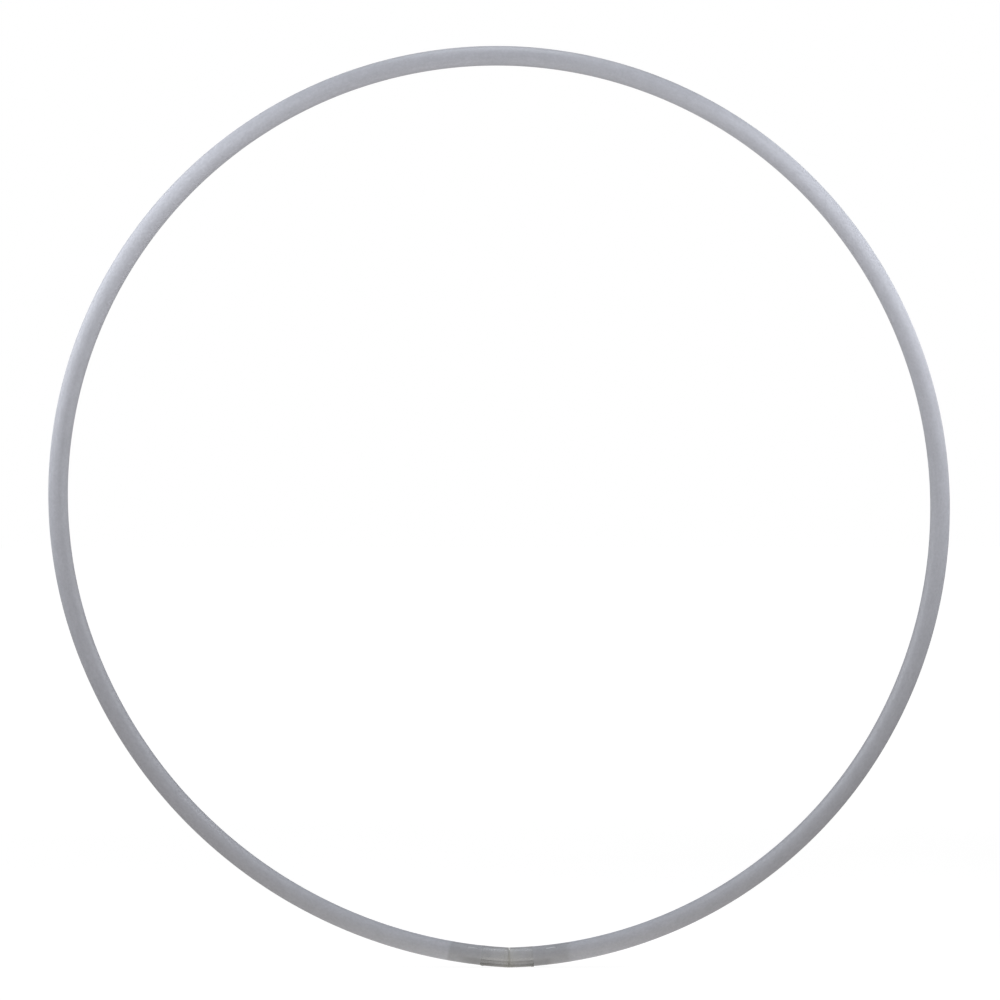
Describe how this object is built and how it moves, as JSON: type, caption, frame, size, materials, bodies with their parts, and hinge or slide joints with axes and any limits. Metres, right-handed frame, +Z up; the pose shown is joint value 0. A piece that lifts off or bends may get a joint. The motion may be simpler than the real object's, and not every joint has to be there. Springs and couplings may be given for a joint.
{
  "type": "rhythmic hoop",
  "caption": "Round plastic gymnastics hoop: one tube bent into a ring, joined at the bottom on an inner plug with staples and a wrap of clear tape.",
  "frame": {"origin": "the middle of the ring, which is the centre of the whole hoop's box", "axes": "the hoop stands upright like a wheel: +Y along the ring's axis, +Z up towards the top of the ring, +X to the right for someone who looks along +Y; the joint is at the bottom, at -Z"},
  "size_m": [0.8307, 0.0182, 0.8492],
  "materials": {
    "tube_plastic": "satin",
    "plug_plastic": "matte",
    "clear_tape": "gloss",
    "staple_steel": "satin"
  },
  "bodies": {
    "root": {"hoop_tube": "tube_plastic", "joint_plug": "plug_plastic", "joint_tape": "clear_tape", "left_staple": "staple_steel", "right_staple": "staple_steel"}
  },
  "joints": []
}
